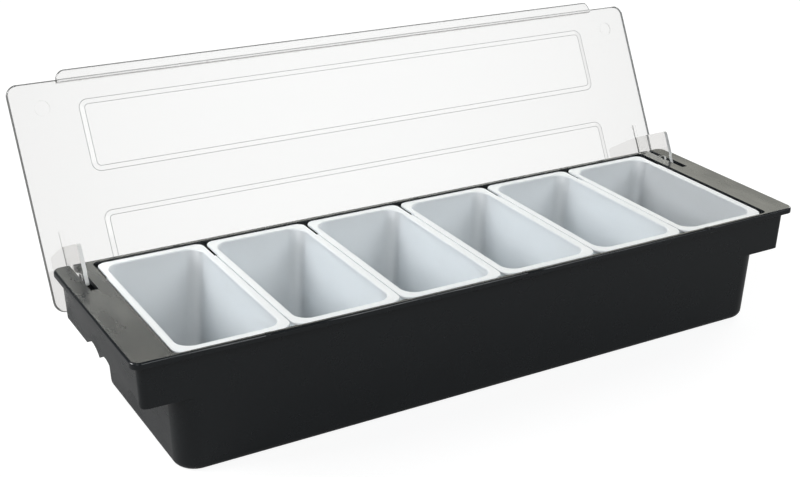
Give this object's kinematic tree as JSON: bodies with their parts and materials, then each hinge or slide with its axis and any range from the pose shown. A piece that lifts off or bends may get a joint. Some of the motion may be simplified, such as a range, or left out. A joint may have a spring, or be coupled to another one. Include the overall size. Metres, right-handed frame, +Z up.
{
  "type": "condiment holder",
  "caption": "Long bar-top condiment holder: black moulded tray with end grips, white lift-out inserts and a clear hinged lid.",
  "frame": {"origin": "middle of the tray's flat underside", "axes": "+X along the tray's length, +Y towards the lid's hinge side, +Z up"},
  "size_m": [0.5006, 0.2232, 0.1938],
  "materials": {
    "tray_black": "gloss",
    "insert_white": "satin",
    "lid_clear": "clear gloss"
  },
  "bodies": {
    "base": {"tray": "tray_black", "insert_1": "insert_white", "insert_2": "insert_white", "insert_3": "insert_white", "insert_4": "insert_white", "insert_5": "insert_white", "insert_6": "insert_white"},
    "lid": {"lid": "lid_clear"}
  },
  "joints": [
    {"name": "lid_hinge", "type": "hinge", "parent": "base", "child": "lid", "pos_m": [0, 0.06525, 0.0729], "axis": [1, 0, 0], "range_deg": [0, 117.3]}
  ]
}
